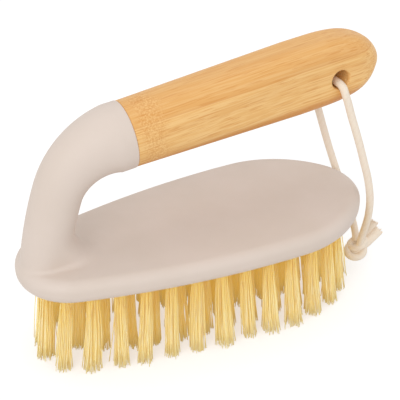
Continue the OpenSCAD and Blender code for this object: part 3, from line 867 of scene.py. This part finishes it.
class BrushBody:
    """The outer shape of the block and the arm's leg: one distance field with a soft corner between them."""

    FOOT_CURVE = 2.2
    OUTLINE_POINTS = 1200
    AT_ONCE = 4000
    CORNER_CURVE = 1.5
    STEPS = 7
    NUDGE = 0.02 * MM
    LEAST_SLOPE = 0.2

    def __init__(self, block, arm, handle, heel_x):
        self.block, self.arm = block, arm
        self.bottom, self.top = block.underside, block.underside + block.thickness
        samples = EggOutline(block, heel_x, self.OUTLINE_POINTS)
        self.edge, self.edge_way = samples.inset(0), samples.ways
        collar_x, collar_z = heel_x + arm.collar_from_heel, self.top + arm.collar_up
        end_x = collar_x - arm.collar_length * math.cos(handle.tilt)
        end_z = collar_z - arm.collar_length * math.sin(handle.tilt)
        self.bend_x = end_x + arm.bend * math.sin(handle.tilt)
        self.bend_z = end_z - arm.bend * math.cos(handle.tilt)
        foot_x = self.bend_x - arm.bend * math.cos(arm.lean)
        foot_z = self.bend_z + arm.bend * math.sin(arm.lean)
        self.bend_from = foot_z
        self.leg_r = (foot_z - self.top) / (math.sin(arm.lean) - math.sin(arm.foot_lean))
        self.leg_x = foot_x + self.leg_r * math.cos(arm.lean)
        self.leg_z = foot_z - self.leg_r * math.sin(arm.lean)
        self.collar = np.array([collar_x, 0, collar_z])

    def leg_turn(self, z):
        return math.asin((z - self.leg_z) / self.leg_r)

    def leg_at(self, z):
        return np.array([self.leg_x - self.leg_r * math.cos(self.leg_turn(z)), 0, z])

    def leg_way(self, z):
        return np.array([math.sin(self.leg_turn(z)), 0, math.cos(self.leg_turn(z))])

    def block_gap(self, p):
        """Distance from points to the rounded block, below zero inside it."""
        near = np.empty(len(p))
        for first in range(0, len(p), self.AT_ONCE):
            part = slice(first, first + self.AT_ONCE)
            between = p[part, None, :2] - self.edge[None]
            nearest = (between**2).sum(2).argmin(1)
            spot = between[np.arange(len(nearest)), nearest]
            near[part] = (spot * self.edge_way[nearest]).sum(1)
        r, half = self.block.rim, (self.top - self.bottom) / 2
        out = np.stack([near + r, np.abs(p[:, 2] - (self.top + self.bottom) / 2) - half + r], axis=1)
        return np.linalg.norm(np.maximum(out, 0), axis=1) + np.minimum(out.max(1), 0) - r

    def flare(self, z):
        """How far the foot is drawn out towards the nose at a height."""
        low = np.clip(1 - (z - self.top) / self.arm.foot_height, 0, 1)
        return self.arm.foot_flare * low**self.FOOT_CURVE

    def leg_gap(self, p):
        """Distance to the leg, whose section is drawn out towards the nose in the flared foot."""
        out = self.leg_r - np.hypot(p[:, 0] - self.leg_x, p[:, 2] - self.leg_z)
        out = out - np.clip(out, 0, self.flare(p[:, 2]))
        return np.hypot(out, p[:, 1]) - self.arm.radius

    def leg_ring(self, z, lean, turns):
        """A ring of points round the leg, evenly along its drawn-out section, square to a lean."""
        r, flare = self.arm.radius, self.flare(z)
        half = math.pi * r + flare
        s = (turns % (2 * math.pi)) / math.pi * half
        side = np.where(s > half, -1, 1)
        s = np.where(s > half, 2 * half - s, s)
        front = math.pi * r / 2
        zones = [s < front, s < front + flare]
        near_turn, far_turn = s / r, (s - flare) / r
        x = np.select(zones, [flare + r * np.cos(near_turn), flare + front - s], r * np.cos(far_turn))
        y = np.select(zones, [r * np.sin(near_turn), np.full_like(s, r)], r * np.sin(far_turn))
        middle = self.leg_at(z)
        return np.column_stack([middle[0] + x * math.cos(lean), side * y, z - x * math.sin(lean)])

    def corner(self, p):
        """Size of the soft corner at points: it changes from the leg's nose side to its sides and heel."""
        arm = self.arm
        off = p[:, :2] - self.leg_at(self.top)[:2]
        facing = off[:, 0] / np.maximum(np.linalg.norm(off, axis=1), 0.1 * MM)
        front = (arm.foot_front - arm.foot_side) * np.maximum(facing, 0) ** self.CORNER_CURVE
        return arm.foot_side + front + (arm.foot_back - arm.foot_side) * np.maximum(-facing, 0)

    def gap(self, p):
        a, b, k = self.block_gap(p), self.leg_gap(p), self.corner(p)
        shared = np.maximum(k - np.abs(a - b), 0) / k
        return np.minimum(a, b) - shared**2 * k / 4

    def onto(self, p):
        """Moves points onto the shape, each along the way in which the distance falls."""
        for _ in range(self.STEPS):
            here = self.gap(p)
            moved = [self.gap(p + self.NUDGE * way) for way in np.eye(3)]
            slope = np.stack([there - here for there in moved], axis=1) / self.NUDGE
            p = p - slope * (here / np.maximum((slope**2).sum(1), self.LEAST_SLOPE))[:, None]
        return p


class SCRUBBRUSH_OT_block_and_arm(bpy.types.Operator):
    """Makes the block with its bent arm and collar, as one smooth moulding"""

    bl_idname = "scrub_brush.block_and_arm"
    bl_label = "Block and arm"

    # Points in a ring, and rings in each stretch
    COUNT = 264
    SKIRT_RINGS = 12
    RIM_RINGS = 16
    TOP_RINGS = 30
    FOOT_RINGS = 26
    LEG_RINGS = 9
    BEND_RINGS = 52
    LIP_RINGS = 7
    # How rings crowd towards the rim, the foot and the leg, as powers
    RIM_CURVE, TOP_CURVE, FOOT_CURVE = 1.6, 1.7, 1.5
    # How far the rim's rings may go in: shares of the rim's radius and of the way to the leg
    RIM_REACH, TOP_REACH = 1.5, 0.75
    # Where a line from the outline arrives at the leg: shares of its seen turn and of an even one
    SEEN_SHARE, EVEN_SHARE = 0.45, 0.55
    LEG_RING_Z = 62 * MM
    BEAD_FROM, BEAD_TO, BEAD_OUT = 2.9 * MM, 4.3 * MM, 0.6 * MM
    LIP = 0.45 * MM
    COLLAR_CURVE = 1.5
    COLLAR_STOPS = (0.25, 0.5, 0.75)
    GLUE_GAP = 0.1 * MM

    def execute(self, context):
        brush = context.scene.scrub_brush
        block, arm, handle, colours = brush.block, brush.arm, brush.handle, brush.colours
        heel_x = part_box("block_and_arm")[0][0]
        egg = EggOutline(block, heel_x, self.COUNT)
        body = BrushBody(block, arm, handle, heel_x)
        rings = self.under_rings(egg, body, block)
        start = self.turns_round_leg(egg, body)
        rings += self.top_rings(egg, body, block, start)
        rings += self.arm_rings(body, arm, handle, start)
        obj = add_mesh("block_with_arm", np.concatenate(rings), loft_faces(len(rings), self.COUNT))
        outward(obj)
        plastic = moulded_plastic("taupe_plastic", colours.plastic, colours.plastic_light)
        dress(obj, plastic, BRUSH, "taupe_plastic", "block_and_arm")
        plate = moulded_plastic("plate_plastic", colours.plate, colours.plastic)
        frame["nodes"]["tuft_plate"].data.materials[0] = plate
        return {"FINISHED"}

    def flat_ring(self, outline, z):
        return np.column_stack([outline, np.broadcast_to(z, len(outline))])

    def under_rings(self, egg, body, block):
        """From the cavity's ceiling down its wall, round the skirt's foot and up to the block's side."""
        bottom, skirt = body.bottom, block.skirt
        last_turn = math.acos(1 - skirt / block.rim)
        foot = bottom + block.rim * (1 - math.sin(last_turn))
        wall = [
            (skirt, body.top - block.ceiling), (skirt, bottom + self.BEAD_TO),
            (skirt - self.BEAD_OUT, bottom + self.BEAD_TO),
            (skirt - self.BEAD_OUT, bottom + self.BEAD_FROM),
            (skirt, bottom + self.BEAD_FROM), (skirt, foot),
        ]
        turns = np.linspace(last_turn, 0, self.SKIRT_RINGS)[1:]
        wall += [(block.rim * (1 - math.cos(a)), bottom + block.rim * (1 - math.sin(a))) for a in turns]
        return [self.flat_ring(egg.inset(depth), z) for depth, z in wall]

    def turns_round_leg(self, egg, body):
        """The turn round the leg at which each line from the outline arrives: part seen, part even."""
        off = egg.inset(0) - body.leg_at(body.top)[:2]
        seen = np.unwrap(np.arctan2(off[:, 1], off[:, 0]))
        even = np.arange(self.COUNT) * 2 * math.pi / self.COUNT
        return self.SEEN_SHARE * seen + self.EVEN_SHARE * even

    def across_leg(self, middle, way, radius, turns):
        """A ring square to a way that lies in the XZ plane; turn 0 is on the side of the nose."""
        inner = np.cross((0, 1, 0), way)
        return middle + radius * (np.outer(np.cos(turns), inner) + np.outer(np.sin(turns), (0, 1, 0)))

    def top_rings(self, egg, body, block, turns):
        """From the block's side over its rim and top to the arm's leg."""
        edge = egg.inset(0)
        spread = np.hypot(*(edge - body.leg_at(body.top)[:2]).T) - body.arm.radius
        depth = np.minimum(self.RIM_REACH * block.rim, self.TOP_REACH * spread)
        rim = []
        for t in np.linspace(0, 1, self.RIM_RINGS):
            inset = depth * t**self.RIM_CURVE
            rise = block.rim - np.maximum(block.rim - inset, 0)
            z = body.top - block.rim + np.sqrt(np.maximum(block.rim**2 - (block.rim - rise) ** 2, 0))
            rim.append(self.flat_ring(egg.inset(inset), z))
        rings = list(rim)
        foot = body.leg_ring(body.top, 0, turns)
        for t in np.linspace(0, 1, self.TOP_RINGS + 1)[1:]:
            eased = 1 - (1 - t) ** self.TOP_CURVE
            rings.append(rim[-1] + (foot - rim[-1]) * eased)
        rise = self.LEG_RING_Z - body.top
        for t in np.linspace(0, 1, self.FOOT_RINGS + 1)[1:]:
            z = body.top + rise * t**self.FOOT_CURVE
            rings.append(body.leg_ring(z, body.leg_turn(z) * t, turns))
        moved = body.onto(np.concatenate(rings))
        return list(moved.reshape(len(rings), self.COUNT, 3))

    def arm_rings(self, body, arm, handle, turns):
        """Up the leg, round the bend, along the collar, over its lip and into the handle's socket."""
        rings = []
        for z in np.linspace(self.LEG_RING_Z, body.bend_from, self.LEG_RINGS)[1:-1]:
            rings.append(self.across_leg(body.leg_at(z), body.leg_way(z), arm.radius, turns))
        whole = math.pi / 2 - arm.lean - handle.tilt
        for f in np.linspace(0, 1, self.BEND_RINGS):
            turn = arm.lean + f * whole
            way = np.array([math.sin(turn), 0, math.cos(turn)])
            middle = np.array([body.bend_x - arm.bend * way[2], 0, body.bend_z + arm.bend * way[0]])
            radius = arm.radius + (arm.collar - arm.radius) * f**self.COLLAR_CURVE
            rings.append(self.across_leg(middle, way, radius, turns))
        way = np.array([math.cos(handle.tilt), 0, math.sin(handle.tilt)])
        socket = handle.tenon / 2 + self.GLUE_GAP
        profile = [(-arm.collar_length * (1 - t), arm.collar) for t in self.COLLAR_STOPS]
        for a in np.linspace(0, math.pi / 2, self.LIP_RINGS):
            profile.append((-self.LIP * (1 - math.sin(a)), arm.collar - self.LIP * (1 - math.cos(a))))
        profile += [(0, socket), (-handle.tenon_length - self.GLUE_GAP, socket)]
        rings += [self.across_leg(body.collar + way * s, way, r, turns) for s, r in profile]
        return rings


# Handle


class SCRUBBRUSH_OT_handle(bpy.types.Operator):
    """Makes the bamboo handle with its tenon and the rounded cord hole"""

    bl_idname = "scrub_brush.handle"
    bl_label = "Bamboo handle"

    COUNT = 120
    STATION_STEP = 1.6 * MM
    END_RINGS = 34
    LAST_TURN = math.radians(89)
    START_ROUND = 0.3 * MM
    HOLE_SIDES = 72
    MOUTH_RINGS = 9
    CUT_PAST = 2 * MM

    def execute(self, context):
        brush = context.scene.scrub_brush
        handle, arm, block, colours = brush.handle, brush.arm, brush.block, brush.colours
        heel_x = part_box("block_and_arm")[0][0]
        self.start = np.array([
            heel_x + arm.collar_from_heel, 0, block.underside + block.thickness + arm.collar_up
        ])
        self.handle, self.collar = handle, arm.collar
        self.way = np.array([math.cos(handle.tilt), 0, math.sin(handle.tilt)])
        self.over = np.array([-math.sin(handle.tilt), 0, math.cos(handle.tilt)])
        straight = handle.length - handle.end_length
        stations = list(np.arange(self.START_ROUND, straight, self.STATION_STEP))
        for a in np.linspace(0, self.LAST_TURN, self.END_RINGS):
            stations.append(handle.length - handle.end_length * (1 - math.sin(a)))
        tenon = handle.tenon / 2
        rings = [self.round_ring(-handle.tenon_length, tenon), self.round_ring(0, tenon)]
        rings.append(self.section(0, drawn_in=self.START_ROUND))
        rings += [self.section(s) for s in stations]
        obj = add_mesh("bamboo_grip", np.concatenate(rings), loft_faces(len(rings), self.COUNT))
        outward(obj)
        self.cut_hole(obj)
        dress(obj, bamboo_wood(colours, handle, tuple(self.start)), BRUSH, "bamboo", "bamboo_handle")
        frame["nodes"]["handle_stud"].data.materials[0] = drawn_steel(colours)
        return {"FINISHED"}

    def at(self, s, side, up):
        """Points at a distance along the handle and off its axis."""
        side, up = np.asarray(side), np.asarray(up)
        return self.start + s * self.way + np.outer(side, (0, 1, 0)) + np.outer(up, self.over)

    def round_ring(self, s, r):
        a = (np.arange(self.COUNT) + 0.5) * 2 * math.pi / self.COUNT
        return self.at(s, r * np.sin(a), r * np.cos(a))

    def section(self, s, drawn_in=0.0):
        """A rounded oblong that grows out of the collar's circle and closes at the free end."""
        h = self.handle
        start = self.collar - h.step
        t = min(1.0, s / h.slab_from)
        end = max(0.0, (s - h.length + h.end_length) / h.end_length)
        plan = max(0.0, (s - h.length + h.end_top) / h.end_top)
        high = (start + (h.height / 2 - start) * t) * (1 - end**h.end_power) ** (1 / h.end_power)
        wide = start + (h.width / 2 - start) * t - h.edge * (1 - math.sqrt(max(0.0, 1 - plan**2)))
        r = min(start + (h.edge - start) * t, high, wide)
        high, wide, r = high - drawn_in, wide - drawn_in, r - drawn_in
        a = (np.arange(self.COUNT) + 0.5) * 2 * math.pi / self.COUNT
        side = np.sign(np.sin(a)) * (wide - r) + r * np.sin(a)
        up = np.sign(np.cos(a)) * (high - r) + r * np.cos(a)
        return self.at(s, side, up)

    def cut_hole(self, obj):
        """Takes the cord hole with its rounded mouths out of the handle."""
        h = self.handle
        face = h.width / 2
        middle = self.start + (h.length - h.hole_from_end) * self.way - h.hole_drop * UP
        profile = [(-face - self.CUT_PAST, h.hole / 2 + h.hole_round)]
        mouth = [(math.cos(a), math.sin(a)) for a in np.linspace(math.pi / 2, 0, self.MOUTH_RINGS)]
        profile += [(-face + h.hole_round * (1 - s), h.hole / 2 + h.hole_round * (1 - c)) for c, s in mouth]
        profile += [(-y, r) for y, r in reversed(profile)]
        rings = []
        for y, r in profile:
            a = np.arange(self.HOLE_SIDES) * 2 * math.pi / self.HOLE_SIDES
            rings.append(middle + np.column_stack([r * np.cos(a), np.full(len(a), y), r * np.sin(a)]))
        cutter = add_mesh("hole_cutter", np.concatenate(rings), loft_faces(len(rings), self.HOLE_SIDES))
        outward(cutter)
        cut = obj.modifiers.new("cord hole", "BOOLEAN")
        cut.operation, cut.solver, cut.object = "DIFFERENCE", "EXACT", cutter
        bpy.context.view_layer.objects.active = obj
        bpy.ops.object.modifier_apply(modifier=cut.name)
        bpy.data.objects.remove(cutter)
        obj.data.shade_smooth()
        obj.data.set_sharp_from_angle(angle=SHARP_ANGLE)


# Bristles


class SCRUBBRUSH_OT_bristles(bpy.types.Operator):
    """Makes the tufts of bristles, ring by ring, and gives their anchors a steel finish"""

    bl_idname = "scrub_brush.bristles"
    bl_label = "Bristles"

    # Depths from the underside to the tips at which a bristle has a ring; the first is in the plate
    DEPTHS = (-0.11, 0.0, 0.14, 0.32, 0.55, 0.78, 1.0)
    SIDES = 4
    ANCHOR_REACH = 5 * MM
    FIRST_TURN = 6.28
    # Scatter of the roots, of a whole tuft, of its tips, of its strays and of its bristles' bows
    ROOT_SCATTER, TUFT_SCATTER, TIP_SCATTER = 0.06 * MM, 0.55 * MM, 0.42 * MM
    STRAY_SCATTER, BOW_SCATTER = 2.0 * MM, 0.35 * MM
    SPREAD_CURVE, BEND_CURVE = 1.5, 1.25
    TUFT_CUT, RAGGED_SHARE, RAGGED_MOST = 0.45 * MM, 0.45, 3
    SHORT_SHARE, SHORT_BY = 0.05, (1, 5)
    THICKNESS_RANGE = (0.85, 1.15)

    def execute(self, context):
        brush = context.scene.scrub_brush
        bristles, block, colours = brush.bristles, brush.block, brush.colours
        self.bristles, self.underside = bristles, block.underside
        self.fan_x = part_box("block_and_arm")[0][0] + bristles.fan_from_heel
        fibre, steel = bristle_fibre(colours, block.underside), drawn_steel(colours)
        for number, group in enumerate(TUFT_GROUPS):
            random = np.random.default_rng(bristles.seed * 100 + number)
            anchors = frame["nodes"][group_node(group, "anchors")]
            tufts = [self.tuft(root, random) for root in self.roots(anchors)]
            obj = self.bristle_mesh(f"bristles_{group}", np.concatenate(tufts, axis=0), random)
            dress(obj, fibre, BRUSH, "bristle", group_node(group, "tufts"))
            anchors.data.materials[0] = steel
        return {"FINISHED"}

    def roots(self, anchors):
        """The middle of each anchor of a node."""
        points = np.array([v.co for v in anchors.data.vertices])
        left, found = points, []
        while len(left):
            near = np.linalg.norm(left - left[0], axis=1) < self.ANCHOR_REACH
            found.append((left[near].min(0) + left[near].max(0)) / 2)
            left = left[~near]
        return [f[:2] for f in found]

    def tuft(self, root, random):
        """The middle lines of one tuft's bristles: an array of bristle, depth and place."""
        b, n = self.bristles, self.bristles.count
        golden = math.pi * (3 - math.sqrt(5))
        out = np.sqrt((np.arange(n) + 0.5) / n) * b.root
        turn = np.arange(n) * golden + random.uniform(0, self.FIRST_TURN)
        foot = np.stack([out * np.cos(turn), out * np.sin(turn)], axis=1)
        foot = foot + random.normal(0, self.ROOT_SCATTER, (n, 2))
        spread = b.spread + b.spread_more * random.uniform() ** self.SPREAD_CURVE
        lean = b.fan * (root - (self.fan_x, 0)) + random.normal(0, self.TUFT_SCATTER, 2)
        tip = foot * spread + lean + random.normal(0, self.TIP_SCATTER, (n, 2))
        stray = random.uniform(size=n) < b.strays
        tip[stray] += random.normal(0, self.STRAY_SCATTER, (int(stray.sum()), 2))
        bow = random.normal(0, self.BOW_SCATTER, (n, 2))
        cut = random.uniform(0, self.TUFT_CUT)
        ragged = np.abs(random.normal(0, b.ragged * self.RAGGED_SHARE, n))
        end = np.clip(cut + ragged, 0, self.RAGGED_MOST * b.ragged)
        short = random.uniform(size=n) < self.SHORT_SHARE
        end[short] += random.uniform(*self.SHORT_BY, int(short.sum())) * MM
        lines = []
        for depth in self.DEPTHS:
            bent = max(depth, 0) ** self.BEND_CURVE
            place = root + foot + tip * bent + bow * math.sin(math.pi * max(depth, 0))
            z = self.underside - (self.underside - end) * depth
            lines.append(np.column_stack([place, z]))
        return np.stack(lines, axis=1)

    def bristle_mesh(self, name, lines, random):
        """Four-sided fibres round the middle lines, closed at both ends."""
        count, rings = lines.shape[:2]
        first = random.uniform(0, 2 * math.pi, count)
        a = first[:, None] + np.arange(self.SIDES)[None] * 2 * math.pi / self.SIDES
        r = self.bristles.thickness / 2 * random.uniform(*self.THICKNESS_RANGE, count)[:, None]
        around = np.stack([r * np.cos(a), r * np.sin(a), np.zeros_like(a)], axis=2)
        points = (lines[:, :, None] + around[:, None]).reshape(-1, 3)
        one = []
        for i in range(rings - 1):
            for k in range(self.SIDES):
                p, q = i * self.SIDES + k, i * self.SIDES + (k + 1) % self.SIDES
                one.append((q, p, p + self.SIDES, q + self.SIDES))
        last = (rings - 1) * self.SIDES
        starts = np.arange(count) * rings * self.SIDES
        quads = (np.array(one)[None] + starts[:, None, None]).reshape(-1, 4)
        caps = np.array([range(self.SIDES), range(last + self.SIDES - 1, last - 1, -1)])
        caps = (caps[None] + starts[:, None, None]).reshape(-1, self.SIDES)
        return add_mesh(name, points, quads.tolist() + caps.tolist())


# Add-on


class SCRUBBRUSH_PT_panel(bpy.types.Panel):
    """Lists the brush's pieces and their sizes"""

    bl_idname = "SCRUBBRUSH_PT_panel"
    bl_label = "Scrub brush"
    bl_space_type = "VIEW_3D"
    bl_region_type = "UI"
    bl_category = "Scrub brush"

    def draw(self, context):
        for operator, groups in PANEL_ROWS:
            box = self.layout.box()
            box.operator(operator.bl_idname)
            for group in groups:
                box.label(text=group.capitalize())
                settings = getattr(context.scene.scrub_brush, group)
                for name in settings.__annotations__:
                    box.prop(settings, name, text=name.replace("_", " ").capitalize())


PANEL_ROWS = (
    (SCRUBBRUSH_OT_stage, ("stage",)),
    (SCRUBBRUSH_OT_cord, ("cord",)),
    (SCRUBBRUSH_OT_block_and_arm, ("block", "arm")),
    (SCRUBBRUSH_OT_handle, ("handle",)),
    (SCRUBBRUSH_OT_bristles, ("bristles", "colours")),
)
CLASSES = (
    ScrubBrushStage, ScrubBrushCord, ScrubBrushBlock, ScrubBrushArm, ScrubBrushHandle, ScrubBrushBristles,
    ScrubBrushColours, ScrubBrushSettings, *(row[0] for row in PANEL_ROWS), SCRUBBRUSH_PT_panel,
)


def register():
    for kind in CLASSES:
        bpy.utils.register_class(kind)
    bpy.types.Scene.scrub_brush = PointerProperty(type=ScrubBrushSettings)


def unregister():
    del bpy.types.Scene.scrub_brush
    for kind in reversed(CLASSES):
        bpy.utils.unregister_class(kind)


def main():
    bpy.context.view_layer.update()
    register()
    bpy.ops.scrub_brush.stage()
    bpy.ops.scrub_brush.cord()
    bpy.ops.scrub_brush.block_and_arm()
    bpy.ops.scrub_brush.handle()
    bpy.ops.scrub_brush.bristles()
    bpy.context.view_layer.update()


if __name__ == "__main__":
    main()
